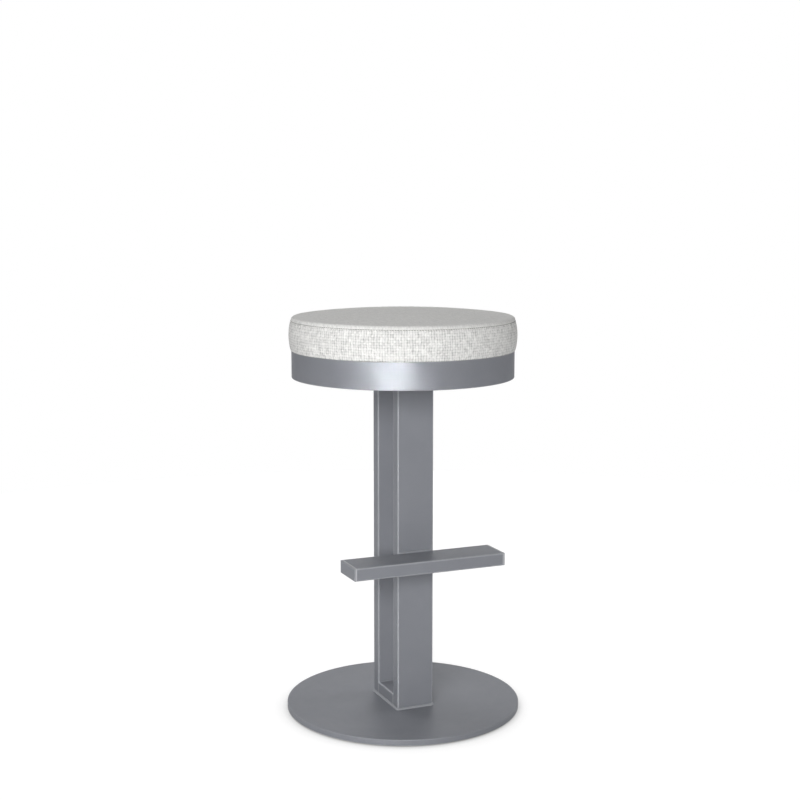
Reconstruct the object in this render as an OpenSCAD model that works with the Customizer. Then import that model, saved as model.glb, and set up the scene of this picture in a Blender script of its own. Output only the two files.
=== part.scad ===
// Swivel bar stool: a round upholstered seat on a ball-bearing swivel, carried by an upright loop
// of rectangular tube that is welded to a round base plate, with a footrest across the front post.
// Millimetres. The floor is z = 0, the swivel turns about Z, and the footrest is on the -Y side.

/* [Base] */
// Diameter of the base plate
base_d = 470; // [400:5:560]
// Thickness of the base plate
base_t = 12; // [8:0.5:20]
// Radius of the eased edges of the base plate
base_edge_r = 1.5; // [0.5:0.25:3]
// Number of floor glides
glide_count = 6; // [3:1:10]
// Diameter of a glide's foot
glide_d = 22; // [14:1:34]
// Height of a glide's foot under the plate
glide_h = 2; // [1:0.25:6]
// Distance from the plate's edge to the centre of a glide
glide_inset = 28; // [20:1:60]
// Diameter of a glide's stem
glide_stem_d = 6; // [4:0.5:10]
// Length of a glide's stem in its blind hole
glide_stem_l = 5; // [3:0.5:6]

/* [Column] */
// Wide side of the rectangular tube
tube_w = 76.2; // [60:0.1:100]
// Narrow side of the rectangular tube
tube_t = 25.4; // [20:0.1:35]
// Wall of the rectangular tube
tube_wall = 2.1; // [1.5:0.1:3]
// Outer corner radius of the rectangular tube
tube_corner_r = 2.5; // [1.5:0.1:4]
// Depth of the column from the front post's face to the rear post's back
column_depth = 127; // [100:1:160]
// Leg of the weld bead round the foot and the head of the column
column_weld = 3.5; // [2:0.25:6]
// Leg of the beads in the inside corners of the loop
loop_weld = 2.5; // [1.5:0.25:4]

/* [Footrest] */
// Length of the footrest over its end caps
footrest_l = 317.5; // [200:0.5:440]
// Height of the footrest's underside above the floor
footrest_z = 308; // [150:1:450]
// Thickness of a footrest end cap
end_cap_t = 3; // [2:0.5:6]
// Radius of the eased outer edges of an end cap
end_cap_edge_r = 1.5; // [0.5:0.25:1.75]
// Leg of the beads between the footrest and the front post
footrest_weld_leg = 3; // [2:0.25:5]

/* [Seat frame] */
// Height of the band's top edge above the floor
seat_frame_z = 729; // [600:1:820]
// Outer diameter of the seat band
band_d = 440; // [400:2:520]
// Height of the seat band
band_h = 53; // [40:1:90]
// Wall of the seat band
band_wall = 2.5; // [1.5:0.25:4]
// Radius of the eased edges of the seat band
band_edge_r = 0.7; // [0.2:0.1:0.7]
// Thickness of the seat pan inside the band
pan_t = 3.4; // [3.2:0.1:5]
// Number of stitch welds between pan and band
pan_weld_count = 8; // [4:1:16]
// Angle that one stitch weld covers
pan_weld_angle = 8; // [4:1:20]
// Leg of a stitch weld
pan_weld_leg = 3; // [2:0.5:5]

/* [Swivel plates] */
// Distance from the lower holes' centres to the edge of the swivel plates
plate_edge = 19; // [16:0.5:30]
// Corner radius of the square swivel plates
plate_corner_r = 12; // [4:1:20]
// Thickness of the mount plate on top of the column
mount_plate_t = 6; // [4:0.5:10]
// Thickness of each race plate
race_plate_t = 3; // [2.5:0.25:5]
// Hole spacing of the upper plate, along X and along Y
upper_spacing = 116; // [106:1:130]
// Gap between the circle that the upper nuts sweep and the lower nuts
nut_circle_gap = 3.7; // [2:0.1:8]

/* [Ball bearing] */
// Diameter of the ball circle
race_d = 100; // [84:1:110]
// Diameter of a ball
ball_d = 9.5; // [9:0.25:11]
// Number of balls
ball_count = 20; // [12:1:22]
// Depth of the groove in each race plate
groove_depth = 1.05; // [0.8:0.05:1.3]
// Gap between a ball and its grooves
ball_gap = 0.3; // [0.2:0.05:0.4]
// Gap between a ball and its pocket in the cage
pocket_gap = 0.25; // [0.15:0.05:0.35]
// Width of the ball cage
cage_w = 15; // [14:0.5:18]
// Thickness of the ball cage
cage_t = 1.6; // [1:0.1:2.5]

/* [Pivot] */
// Diameter of the pivot rivet's shank
pivot_d = 12; // [10:0.5:16]
// Running clearance between shank and bush, on the radius
pivot_clear = 0.05; // [0.02:0.01:0.1]
// Diameter of the rivet's lower head
rivet_foot_d = 24; // [20:1:30]
// Height of the rivet's lower head
rivet_foot_t = 3; // [2:0.5:4]
// Diameter of the rivet's upper head
rivet_head_d = 22; // [20:1:26]
// Height of the rivet's upper head
rivet_head_t = 1.6; // [1.2:0.1:1.8]
// Wall of the pivot bush
bush_wall = 2; // [1.5:0.25:3]
// Diameter of the bush's flange
bush_flange_d = 26; // [24:1:32]
// Thickness of the bush's flange
bush_flange_t = 1.2; // [0.8:0.1:1.4]
// Gap between the bush's flange and the rivet's upper head
rivet_gap = 0.25; // [0.1:0.05:0.35]

/* [Swivel fasteners] */
// Thread diameter of the lower bolts
lower_bolt_d = 8; // [6:1:8]
// How far a lower bolt's end stays inside its nut
lower_bolt_short = 0.6; // [0:0.1:2]
// Width across flats of the lower bolts and their nuts
lower_flats = 13; // [12:0.5:14]
// Height of a lower bolt's head
lower_head_h = 5.3; // [4:0.1:7]
// Height of a lower weld nut
lower_nut_h = 6; // [4:0.25:6.5]
// Diameter of a lower bolt's washer
washer_d = 16; // [15:0.5:18]
// Thickness of a lower bolt's washer
washer_t = 1.6; // [1:0.1:2.5]
// Thread diameter of the upper screws
upper_screw_d = 6; // [5:0.5:6]
// How far an upper screw's end stands past its nut
upper_screw_tail = 0.6; // [0:0.1:1.2]
// Diameter of an upper screw's countersunk head
upper_head_d = 12; // [10:0.25:12]
// Width across flats of the upper screws' hexagon sockets
socket_flats = 4; // [3:0.5:5]
// Depth of the upper screws' hexagon sockets
socket_depth = 2; // [1:0.25:2.5]
// Width across flats of an upper weld nut
upper_flats = 10; // [9:0.5:10]
// Height of an upper weld nut
upper_nut_h = 5; // [3:0.25:5.5]
// Gap between a thread and its nut, on the radius
thread_gap = 0.05; // [0.02:0.01:0.1]
// Clearance of a fastener in a plain hole, on the radius
hole_clear = 0.4; // [0.2:0.05:0.6]

/* [Seat board] */
// Thickness of the plywood seat board
board_t = 12; // [12:0.5:20]
// Foam between the board's edge and the cover
foam_wrap = 6; // [3:0.5:12]
// Distance from the board's edge to the seat screws
seat_screw_inset = 45; // [38:1:60]
// Number of seat screws
seat_screw_count = 4; // [3:1:8]
// Thread diameter of the seat screws
seat_screw_d = 6; // [5:0.5:8]
// How far a seat screw's end stays below the top of the board
seat_screw_short = 1.6; // [0.4:0.2:4]
// Diameter of a seat screw's washer head
seat_head_d = 14; // [13:0.5:18]
// Thickness of a seat screw's washer head
seat_washer_t = 1.2; // [0.8:0.1:2]
// Width across flats of a seat screw's hexagon
seat_flats = 10; // [8:0.5:12]
// Height of a seat screw's head
seat_head_h = 5; // [3:0.5:8]
// Diameter of a tee nut's flange
tee_flange_d = 19; // [16:0.5:24]
// Thickness of a tee nut's flange
tee_flange_t = 1.2; // [0.8:0.1:1.6]
// Wall of a tee nut's barrel
tee_wall = 1.2; // [0.8:0.1:1.6]
// Height of a tee nut with its flange
tee_h = 9.5; // [6:0.5:10]
// Number of staples in the cover's hem
staple_count = 36; // [12:2:60]
// Width of a staple's crown
staple_w = 10; // [6:0.5:12]
// Length of a staple's legs
staple_l = 8; // [5:0.5:10]
// Thickness of the staple wire
staple_wire = 0.7; // [0.5:0.1:1]
// Distance from the board's edge to the staples
staple_inset = 11; // [8:0.5:15]
// Width of the cover's hem under the board
hem_w = 24; // [18:1:30]

/* [Cushion] */
// Thickness of the cover's fabric
fabric_t = 1.2; // [0.8:0.1:2]
// How far the cushion's foot stands out past the band
foot_overhang = 2; // [0:0.25:6]
// Radius of the tuck where the cover turns under the board
tuck_r = 3; // [2.5:0.25:5]
// How far the side bulges out between foot and seam
side_bulge = 3.5; // [1:0.25:8]
// How far the cushion stands out past the band beside the seam
seam_overhang = 1.5; // [-2:0.25:4]
// How far the seam lies below the rim
seam_drop = 8; // [7.5:0.5:20]
// Width of the dent that the seam draws in
seam_w = 2.4; // [1.5:0.1:4]
// Depth of the dent that the seam draws in
seam_dent = 0.8; // [0.4:0.1:1.5]
// Height of the rim above the band
rim_h = 66.5; // [55:0.5:95]
// Radius of the rim's edge
rim_r = 7; // [5:0.5:8]
// Rise of the crown above the rim
crown_h = 12.5; // [3:0.5:20]

/* [Hidden] */
$fn = 96;
small_fn = 32;
cushion_fn = 60;
tuck_steps = 2;
side_steps = 6;
rim_steps = 4;
crown_steps = 6;
tiny = 0.01;
press_gap = 0.05;
stem_end_gap = 0.5;
chamfer_share = 0.95;
chamfer_angle = 30;

paint = [0.53, 0.54, 0.57];
zinc = [0.72, 0.73, 0.75];
bearing_steel = [0.80, 0.81, 0.83];
nylon = [0.13, 0.13, 0.14];
bush_nylon = [0.90, 0.89, 0.84];
plywood = [0.78, 0.64, 0.45];
foam_colour = [0.93, 0.89, 0.74];
fabric = [0.88, 0.87, 0.85];

base_r = base_d / 2;
base_top = glide_h + base_t;

// The seat stack, from the band's top edge down to the top of the column
pan_z = seat_frame_z - pan_t;
upper_race_z = pan_z - race_plate_t;
plate_gap = ball_d + 2 * ball_gap - 2 * groove_depth;
lower_race_top = upper_race_z - plate_gap;
lower_race_z = lower_race_top - race_plate_t;
mount_plate_z = lower_race_z - mount_plate_t;
column_top = mount_plate_z;
ball_z = lower_race_top + plate_gap / 2;
groove_r = ball_d / 2 + ball_gap;

// The lower holes lie outside the circle that the upper nuts sweep
upper_nut_reach = upper_flats / 2 / cos(30);
lower_nut_reach = lower_flats / 2 / cos(30);
lower_spacing = upper_spacing + sqrt(2) * (upper_nut_reach + nut_circle_gap + lower_nut_reach);
plate_w = lower_spacing + 2 * plate_edge;

// The loop of tube
post_y = (column_depth - tube_t) / 2;
rail_l = column_depth - 2 * tube_t;
post_h = column_top - base_top;
post_flat_w = tube_w - 2 * tube_corner_r;
footrest_y = -(column_depth + tube_w) / 2;

// The pivot
pivot_r = pivot_d / 2;
bush_r = pivot_r + pivot_clear + bush_wall;
rivet_head_z = pan_z + bush_flange_t + rivet_gap;

// The band and the pan
band_r = band_d / 2;
pan_r = band_r - band_wall;
upper_head_h = (upper_head_d - upper_screw_d) / 2;

// The fasteners' lengths, from what they clamp
lower_bolt_l = washer_t + mount_plate_t + race_plate_t + lower_nut_h - lower_bolt_short;
upper_screw_l = pan_t + race_plate_t + upper_nut_h + upper_screw_tail;
seat_screw_l = pan_t + fabric_t + board_t - seat_screw_short;

// The cushion
tuck_turn = 60;
rim_start = 10;
foot_r = band_r + foot_overhang;
seam_r = band_r + seam_overhang;
seam_z = seat_frame_z + rim_h - seam_drop;
rim_x = seam_r - seam_dent - rim_r;
rim_z = seat_frame_z + rim_h - rim_r;
crown_a = 2 * atan(crown_h / rim_x);
crown_r = rim_x / sin(crown_a) + rim_r;
crown_z = rim_z - (crown_r - rim_r) * cos(crown_a);
board_z = seat_frame_z + fabric_t;
board_top = board_z + board_t;
board_r = foot_r - fabric_t - foam_wrap;
seat_screw_r = board_r - seat_screw_inset;
tee_barrel_r = seat_screw_d / 2 + thread_gap + tee_wall;

// Points along the arc from a to b that stands off its chord by sag, to the right of the way from a to b
function arc_between(a, b, sag, steps) =
    let (chord = norm(b - a), along = (b - a) / chord, out = [along.y, -along.x],
         radius = (chord * chord / 4 + sag * sag) / (2 * sag),
         centre = (a + b) / 2 - (radius - sag) * out, half = asin(chord / 2 / radius))
    [for (i = [0:steps]) let (t = half * (2 * i / steps - 1)) centre + radius * (cos(t) * out + sin(t) * along)];

// Points along a circle about centre, from one angle to another
function arc_about(centre, radius, from, to, steps) =
    [for (i = [0:steps]) let (t = from + (to - from) * i / steps) centre + radius * [cos(t), sin(t)]];

// Half section of the cushion, d inside the face of its cover: tuck, side, seam, rim and crown
function cushion_section(d) = concat(
    [[0, seat_frame_z + d]],
    arc_about([foot_r - tuck_r, seat_frame_z + tuck_r], tuck_r - d, -90, tuck_turn - 90, tuck_steps),
    arc_between([foot_r - d, seat_frame_z + tuck_r], [seam_r - d, seam_z - seam_w / 2], side_bulge, side_steps),
    [[seam_r - seam_dent - d, seam_z], [seam_r - seam_dent / 2 - d, seam_z + seam_w / 2]],
    arc_about([rim_x, rim_z], rim_r - d, rim_start, 90 - crown_a, rim_steps),
    [for (i = [crown_steps - 1:-1:0]) let (t = crown_a * i / crown_steps)
        [(crown_r - d) * sin(t), crown_z + (crown_r - d) * cos(t)]]
);

// Rectangle with rounded corners, centred
module rounded_rect(w, h, r) {
    square([w - 2 * r, h], center = true);
    square([w, h - 2 * r], center = true);
    for (x = [-1, 1], y = [-1, 1]) translate([x * (w / 2 - r), y * (h / 2 - r)]) circle(r, $fn = small_fn);
}

// Section of the rectangular tube, wide side along X
module tube_section() {
    difference() {
        rounded_rect(tube_w, tube_t, tube_corner_r);
        square([tube_w - 2 * tube_wall, tube_t - 2 * tube_wall], center = true);
    }
}

// Four copies on the corners of a square pattern
module on_square(spacing) {
    for (x = [-1, 1], y = [-1, 1]) translate([x * spacing / 2, y * spacing / 2, 0]) children();
}

// Copies spread round a circle
module on_circle(radius, count, start = 0) {
    for (i = [0:count - 1]) rotate(start + 360 * i / count) translate([radius, 0, 0]) children();
}

// Hexagonal prism, measured across its flats
module hex_prism(flats, h) cylinder(h = h, r = flats / 2 / cos(30), $fn = 6);

// Hexagon head whose free end is chamfered, and below
module hex_head(flats, h) {
    chamfer_r = chamfer_share * flats / 2;
    intersection() {
        hex_prism(flats, h);
        cylinder(h = h, r1 = chamfer_r, r2 = chamfer_r + h / tan(chamfer_angle), $fn = small_fn);
    }
}

module washer(d, hole, h) {
    difference() {
        cylinder(h = h, d = d, $fn = small_fn);
        translate([0, 0, -tiny]) cylinder(h = h + 2 * tiny, d = hole, $fn = small_fn);
    }
}

module weld_nut(flats, thread_d, h) {
    difference() {
        hex_prism(flats, h);
        translate([0, 0, -tiny]) cylinder(h = h + 2 * tiny, d = thread_d, $fn = small_fn);
    }
}

// Square swivel plate with its centre hole and one pattern of four holes
module swivel_plate(t, centre_r, spacing, hole_r) {
    difference() {
        linear_extrude(t) rounded_rect(plate_w, plate_w, plate_corner_r);
        translate([0, 0, -tiny]) cylinder(h = t + 2 * tiny, r = centre_r, $fn = small_fn);
        on_square(spacing) translate([0, 0, -tiny]) cylinder(h = t + 2 * tiny, r = hole_r, $fn = small_fn);
    }
}

// Ring of ball groove, centred on the balls
module ball_groove() translate([0, 0, ball_z]) rotate_extrude() translate([race_d / 2, 0]) circle(groove_r);

// Fillet bead that stands on z = 0 round the outside of the column
module column_bead(leg) {
    flat_x = tube_w / 2 - tube_corner_r;
    flat_y = column_depth / 2 - tube_corner_r;
    for (turn = [0, 180]) rotate(turn) {
        translate([tube_w / 2, flat_y, 0]) rotate([90, 0, 0]) linear_extrude(2 * flat_y) bead_section(leg);
        translate([-flat_x, column_depth / 2, 0]) rotate([90, 0, 90]) linear_extrude(2 * flat_x) bead_section(leg);
        translate([flat_x, flat_y, 0]) rotate_extrude(angle = 90) translate([tube_corner_r, 0]) bead_section(leg);
        translate([-flat_x, flat_y, 0]) rotate(90) rotate_extrude(angle = 90)
            translate([tube_corner_r, 0]) bead_section(leg);
    }
}

module bead_section(leg) polygon([[0, 0], [leg, 0], [0, leg]]);

// Bead that fills the groove beside a rounded tube corner: the tube is below and the other part is at the left
module flare_bead_section(leg) {
    root = 0.7 * tube_corner_r;
    toe = 0.4 * leg;
    difference() {
        polygon([[0, leg], [0, -root], [tube_corner_r + toe, 0]]);
        translate([tube_corner_r, -tube_corner_r]) circle(tube_corner_r, $fn = small_fn);
        translate([tube_corner_r, -tube_corner_r]) square([leg + tube_corner_r, tube_corner_r]);
    }
}

module floor_glides() color(nylon) {
    on_circle(base_r - glide_inset, glide_count) {
        cylinder(h = glide_h, d = glide_d);
        translate([0, 0, glide_h - tiny]) cylinder(h = glide_stem_l + tiny, d = glide_stem_d, $fn = small_fn);
    }
}

module base_plate() color(paint) difference() {
    translate([0, 0, glide_h]) rotate_extrude() {
        square([base_r - base_edge_r, base_t]);
        translate([0, base_edge_r]) square([base_r, base_t - 2 * base_edge_r]);
        for (z = [base_edge_r, base_t - base_edge_r]) translate([base_r - base_edge_r, z])
            circle(base_edge_r, $fn = small_fn);
    }
    on_circle(base_r - glide_inset, glide_count) translate([0, 0, glide_h - tiny])
        cylinder(h = glide_stem_l + stem_end_gap + tiny, r = glide_stem_d / 2 + press_gap, $fn = small_fn);
}

module foot_weld() color(paint) translate([0, 0, base_top]) column_bead(column_weld);

module front_post() color(paint) translate([0, -post_y, base_top]) linear_extrude(post_h) tube_section();

module rear_post() color(paint) translate([0, post_y, base_top]) linear_extrude(post_h) tube_section();

// Tube that lies between the posts, on the height z
module cross_rail(z) translate([0, rail_l / 2, z + tube_t / 2]) rotate([90, 0, 0]) linear_extrude(rail_l) tube_section();

module foot_rail() color(paint) cross_rail(base_top);

module head_rail() color(paint) cross_rail(column_top - tube_t);

// Inside corner beads across the window, and the flush fills where a rail meets the posts' rounded corners
module loop_welds() color(paint) {
    fill = 0.75 * tube_corner_r;
    for (side = [0, 180]) rotate(side) {
        for (top = [0, 1]) translate([0, -rail_l / 2, top ? column_top - tube_t : base_top + tube_t])
            mirror([0, 0, top]) translate([-post_flat_w / 2, 0, 0]) rotate([90, 0, 90])
            linear_extrude(post_flat_w) bead_section(loop_weld);
        for (x = [0, 1], z = [base_top, column_top - tube_t]) mirror([x, 0, 0])
            translate([tube_w / 2, rail_l / 2, z + tube_corner_r]) linear_extrude(tube_t - 2 * tube_corner_r)
            difference() {
                translate([-fill, 0]) square([fill, fill]);
                translate([-tube_corner_r, tube_corner_r]) circle(tube_corner_r, $fn = small_fn);
            }
    }
}

module footrest_tube() color(paint) {
    length = footrest_l - 2 * end_cap_t;
    translate([-length / 2, footrest_y, footrest_z + tube_t / 2]) rotate([90, 0, 90]) linear_extrude(length)
        tube_section();
}

// Flat caps with the outline of the tube, eased on their outer edges
module footrest_end_caps() color(paint) translate([0, footrest_y, footrest_z + tube_t / 2]) {
    for (side = [0, 1]) mirror([side, 0, 0]) intersection() {
        translate([-footrest_l / 2, 0, 0]) rotate([90, 0, 90]) linear_extrude(end_cap_t)
            rounded_rect(tube_w, tube_t, tube_corner_r);
        linear_extrude(tube_t, center = true) rounded_rect(footrest_l, tube_w, end_cap_edge_r);
        rotate([90, 0, 0]) linear_extrude(tube_w, center = true) rounded_rect(footrest_l, tube_t, end_cap_edge_r);
    }
}

// Beads over and under the footrest, and upright ones beside the front post
module footrest_weld() color(paint) translate([0, -column_depth / 2, footrest_z + tube_t / 2]) {
    for (under = [0, 1]) mirror([0, 0, under]) translate([post_flat_w / 2, 0, tube_t / 2])
        rotate([90, 0, -90]) linear_extrude(post_flat_w) flare_bead_section(footrest_weld_leg);
    upright = tube_t - 2 * tube_corner_r;
    for (side = [0, 1]) mirror([side, 0, 0]) translate([tube_w / 2, 0, -upright / 2])
        linear_extrude(upright) rotate(90) mirror([0, 1, 0]) flare_bead_section(footrest_weld_leg);
}

module mount_plate() color(paint) translate([0, 0, mount_plate_z])
    swivel_plate(mount_plate_t, rivet_foot_d / 2 + hole_clear, lower_spacing, lower_bolt_d / 2 + hole_clear);

module head_weld() color(paint) translate([0, 0, column_top]) mirror([0, 0, 1]) column_bead(column_weld);

module lower_race_plate() color(zinc) difference() {
    translate([0, 0, lower_race_z])
        swivel_plate(race_plate_t, pivot_r + press_gap, lower_spacing, lower_bolt_d / 2 + hole_clear);
    ball_groove();
}

module lower_weld_nuts() color(zinc)
    on_square(lower_spacing) translate([0, 0, lower_race_top]) weld_nut(lower_flats, lower_bolt_d, lower_nut_h);

module lower_bolts() color(zinc) on_square(lower_spacing) translate([0, 0, mount_plate_z - washer_t]) {
    translate([0, 0, -lower_head_h]) hex_head(lower_flats, lower_head_h);
    translate([0, 0, -tiny]) cylinder(h = lower_bolt_l + tiny, r = lower_bolt_d / 2 - thread_gap, $fn = small_fn);
}

module lower_washers() color(zinc) on_square(lower_spacing) translate([0, 0, mount_plate_z - washer_t])
    washer(washer_d, lower_bolt_d + 2 * hole_clear, washer_t);

module pivot_rivet() color(bearing_steel) {
    translate([0, 0, lower_race_z - rivet_foot_t]) cylinder(h = rivet_foot_t, d = rivet_foot_d);
    translate([0, 0, lower_race_z - tiny]) cylinder(h = rivet_head_z - lower_race_z + 2 * tiny, r = pivot_r);
    translate([0, 0, rivet_head_z]) cylinder(h = rivet_head_t, d = rivet_head_d);
}

module ball_cage() color(bush_nylon) translate([0, 0, ball_z - cage_t / 2]) linear_extrude(cage_t) difference() {
    circle(d = race_d + cage_w);
    circle(d = race_d - cage_w);
    on_circle(race_d / 2, ball_count) circle(ball_d / 2 + pocket_gap, $fn = small_fn);
}

module bearing_balls() color(bearing_steel)
    on_circle(race_d / 2, ball_count) translate([0, 0, ball_z]) sphere(d = ball_d, $fn = 16);

module upper_race_plate() color(zinc) difference() {
    translate([0, 0, upper_race_z]) swivel_plate(race_plate_t, bush_r, upper_spacing, upper_screw_d / 2 + hole_clear);
    ball_groove();
}

module upper_weld_nuts() color(zinc) on_square(upper_spacing) translate([0, 0, upper_race_z - upper_nut_h])
    weld_nut(upper_flats, upper_screw_d, upper_nut_h);

// Countersunk screws with a hexagon socket, flush in the pan
module upper_screws() color(zinc) on_square(upper_spacing) translate([0, 0, seat_frame_z]) difference() {
    union() {
        translate([0, 0, -upper_head_h]) cylinder(h = upper_head_h, r1 = upper_screw_d / 2 - thread_gap,
            r2 = upper_head_d / 2 - thread_gap, $fn = small_fn);
        translate([0, 0, -upper_screw_l]) cylinder(h = upper_screw_l - upper_head_h + tiny,
            r = upper_screw_d / 2 - thread_gap, $fn = small_fn);
    }
    translate([0, 0, -socket_depth]) hex_prism(socket_flats, socket_depth + tiny);
}

module pivot_bush() color(bush_nylon) difference() {
    union() {
        translate([0, 0, upper_race_z]) cylinder(h = race_plate_t + tiny, r = bush_r);
        translate([0, 0, pan_z]) cylinder(h = bush_flange_t, d = bush_flange_d);
    }
    translate([0, 0, upper_race_z - tiny])
        cylinder(h = race_plate_t + bush_flange_t + 2 * tiny, r = pivot_r + pivot_clear);
}

module seat_pan() color(paint) difference() {
    translate([0, 0, pan_z]) cylinder(h = pan_t, r = pan_r);
    translate([0, 0, pan_z - tiny]) cylinder(h = pan_t + 2 * tiny, r = bush_flange_d / 2 + hole_clear);
    on_square(upper_spacing) {
        translate([0, 0, pan_z - tiny]) cylinder(h = pan_t, r = upper_screw_d / 2 + thread_gap, $fn = small_fn);
        translate([0, 0, seat_frame_z - upper_head_h]) cylinder(h = upper_head_h + tiny, r1 = upper_screw_d / 2,
            r2 = upper_head_d / 2 + tiny, $fn = small_fn);
    }
    on_circle(seat_screw_r, seat_screw_count) translate([0, 0, pan_z - tiny])
        cylinder(h = pan_t + 2 * tiny, r = seat_screw_d / 2 + hole_clear, $fn = small_fn);
}

module seat_band() color(paint) translate([0, 0, seat_frame_z - band_h]) rotate_extrude($fn = 144) {
    translate([pan_r, band_edge_r]) square([band_wall, band_h - 2 * band_edge_r]);
    translate([pan_r + band_edge_r, 0]) square([band_wall - 2 * band_edge_r, band_h]);
    for (x = [pan_r + band_edge_r, band_r - band_edge_r], z = [band_edge_r, band_h - band_edge_r])
        translate([x, z]) circle(band_edge_r, $fn = 16);
}

module pan_welds() color(paint) translate([0, 0, pan_z])
    for (i = [0:pan_weld_count - 1]) rotate(360 * i / pan_weld_count - pan_weld_angle / 2)
    rotate_extrude(angle = pan_weld_angle)
    polygon([[pan_r, 0], [pan_r - pan_weld_leg, 0], [pan_r, -pan_weld_leg]]);

module seat_board() color(plywood) difference() {
    translate([0, 0, board_z]) cylinder(h = board_t, r = board_r);
    on_circle(seat_screw_r, seat_screw_count) {
        translate([0, 0, board_z - tiny]) cylinder(h = board_t + 2 * tiny, r = tee_barrel_r + press_gap,
            $fn = small_fn);
        translate([0, 0, board_top - tee_flange_t]) cylinder(h = tee_flange_t + tiny,
            r = tee_flange_d / 2 + press_gap, $fn = small_fn);
    }
}

module tee_nuts() color(zinc) on_circle(seat_screw_r, seat_screw_count) difference() {
    union() {
        translate([0, 0, board_top - tee_flange_t]) cylinder(h = tee_flange_t, d = tee_flange_d, $fn = small_fn);
        translate([0, 0, board_top - tee_h]) cylinder(h = tee_h, r = tee_barrel_r, $fn = small_fn);
    }
    translate([0, 0, board_top - tee_h - tiny]) cylinder(h = tee_h + 2 * tiny, r = seat_screw_d / 2 + thread_gap,
        $fn = small_fn);
}

module seat_screws() color(zinc) on_circle(seat_screw_r, seat_screw_count) translate([0, 0, pan_z]) {
    translate([0, 0, -seat_washer_t]) cylinder(h = seat_washer_t, d = seat_head_d, $fn = small_fn);
    translate([0, 0, -seat_head_h]) hex_head(seat_flats, seat_head_h);
    translate([0, 0, -tiny]) cylinder(h = seat_screw_l + tiny, d = seat_screw_d, $fn = small_fn);
}

module foam_pad() color(foam_colour) rotate_extrude($fn = cushion_fn) difference() {
    polygon(cushion_section(fabric_t));
    translate([-tiny, board_z - tiny]) square([board_r + tiny, board_t + tiny]);
}

// Section of the cover: between its face and the foam, open under the board inside the hem
module cover_section() {
    difference() {
        polygon(cushion_section(0));
        polygon(cushion_section(fabric_t));
        translate([-tiny, seat_frame_z - tiny]) square([board_r - hem_w, board_t]);
    }
}

module cover_side() color(fabric) rotate_extrude($fn = cushion_fn) difference() {
    cover_section();
    translate([-tiny, seam_z]) square([foot_r + side_bulge, rim_h]);
}

module cover_top() color(fabric) rotate_extrude($fn = cushion_fn) intersection() {
    cover_section();
    translate([-tiny, seam_z]) square([foot_r + side_bulge, rim_h]);
}

// Staples driven up through the hem into the board, crowns pressed into the fabric
module cover_staples() color(zinc) on_circle(board_r - staple_inset, staple_count, 180 / staple_count)
    translate([0, 0, seat_frame_z + tiny]) {
        translate([-staple_wire / 2, -staple_w / 2, 0]) cube([staple_wire, staple_w, staple_wire]);
        for (y = [-staple_w / 2, staple_w / 2 - staple_wire]) translate([-staple_wire / 2, y, 0])
            cube([staple_wire, staple_wire, staple_l]);
    }

floor_glides();
base_plate();
foot_weld();
front_post();
rear_post();
foot_rail();
head_rail();
loop_welds();
footrest_tube();
footrest_end_caps();
footrest_weld();
mount_plate();
head_weld();
lower_race_plate();
lower_weld_nuts();
lower_bolts();
lower_washers();
pivot_rivet();
ball_cage();
bearing_balls();
upper_race_plate();
upper_weld_nuts();
upper_screws();
pivot_bush();
seat_pan();
seat_band();
pan_welds();
seat_board();
tee_nuts();
seat_screws();
foam_pad();
cover_side();
cover_top();
cover_staples();
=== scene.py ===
import math

import bmesh
import bpy
import numpy as np
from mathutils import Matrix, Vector


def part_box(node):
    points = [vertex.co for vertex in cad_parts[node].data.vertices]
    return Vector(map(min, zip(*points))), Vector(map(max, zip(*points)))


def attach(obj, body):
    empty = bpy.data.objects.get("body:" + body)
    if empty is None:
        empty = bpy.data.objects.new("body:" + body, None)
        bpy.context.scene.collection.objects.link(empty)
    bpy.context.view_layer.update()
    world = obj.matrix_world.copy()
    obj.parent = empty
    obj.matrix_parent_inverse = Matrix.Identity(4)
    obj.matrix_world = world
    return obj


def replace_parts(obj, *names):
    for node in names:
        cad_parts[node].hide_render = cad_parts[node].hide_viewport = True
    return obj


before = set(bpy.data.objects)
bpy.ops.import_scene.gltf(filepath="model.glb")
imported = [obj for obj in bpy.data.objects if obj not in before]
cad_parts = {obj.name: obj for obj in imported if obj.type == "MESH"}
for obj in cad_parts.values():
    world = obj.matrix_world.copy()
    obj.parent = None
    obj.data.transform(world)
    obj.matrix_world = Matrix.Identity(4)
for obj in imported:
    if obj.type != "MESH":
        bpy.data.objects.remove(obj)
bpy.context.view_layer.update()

# Camera
# A long lens a little above the seat and to the left of the footrest, as for a catalogue picture.
# Its distance, height and turn were fitted to the stool's outline in the photograph.
camera_distance = 2.8692
camera_height = 1.0409
camera_azimuth = math.radians(23.226)
camera_turn = math.radians(23.109)
camera_tilt = math.radians(8.191)
camera_lens = 65.725
camera_sensor = 36
camera_data = bpy.data.cameras.new("camera")
camera_data.lens = camera_lens
camera_data.sensor_width = camera_sensor
camera = bpy.data.objects.new("camera", camera_data)
camera.location = (
    -camera_distance * math.sin(camera_azimuth),
    -camera_distance * math.cos(camera_azimuth),
    camera_height,
)
camera.rotation_euler = (math.pi / 2 - camera_tilt, 0, -camera_turn)
bpy.context.collection.objects.link(camera)
bpy.context.scene.camera = camera
bpy.context.scene.view_settings.view_transform = "Standard"


# Studio walls
# A white tent round the stool. The camera sees it as white, and the paint's gloss as white in the middle
# and a little darker at both sides. Matte surfaces get only a faint, even fill from it.
tent_fill = 0.03
tent_gloss_middle = 1.0
tent_gloss_sides = 0.74
tent_side_start = 0.1
tent_side_end = 0.6


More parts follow.
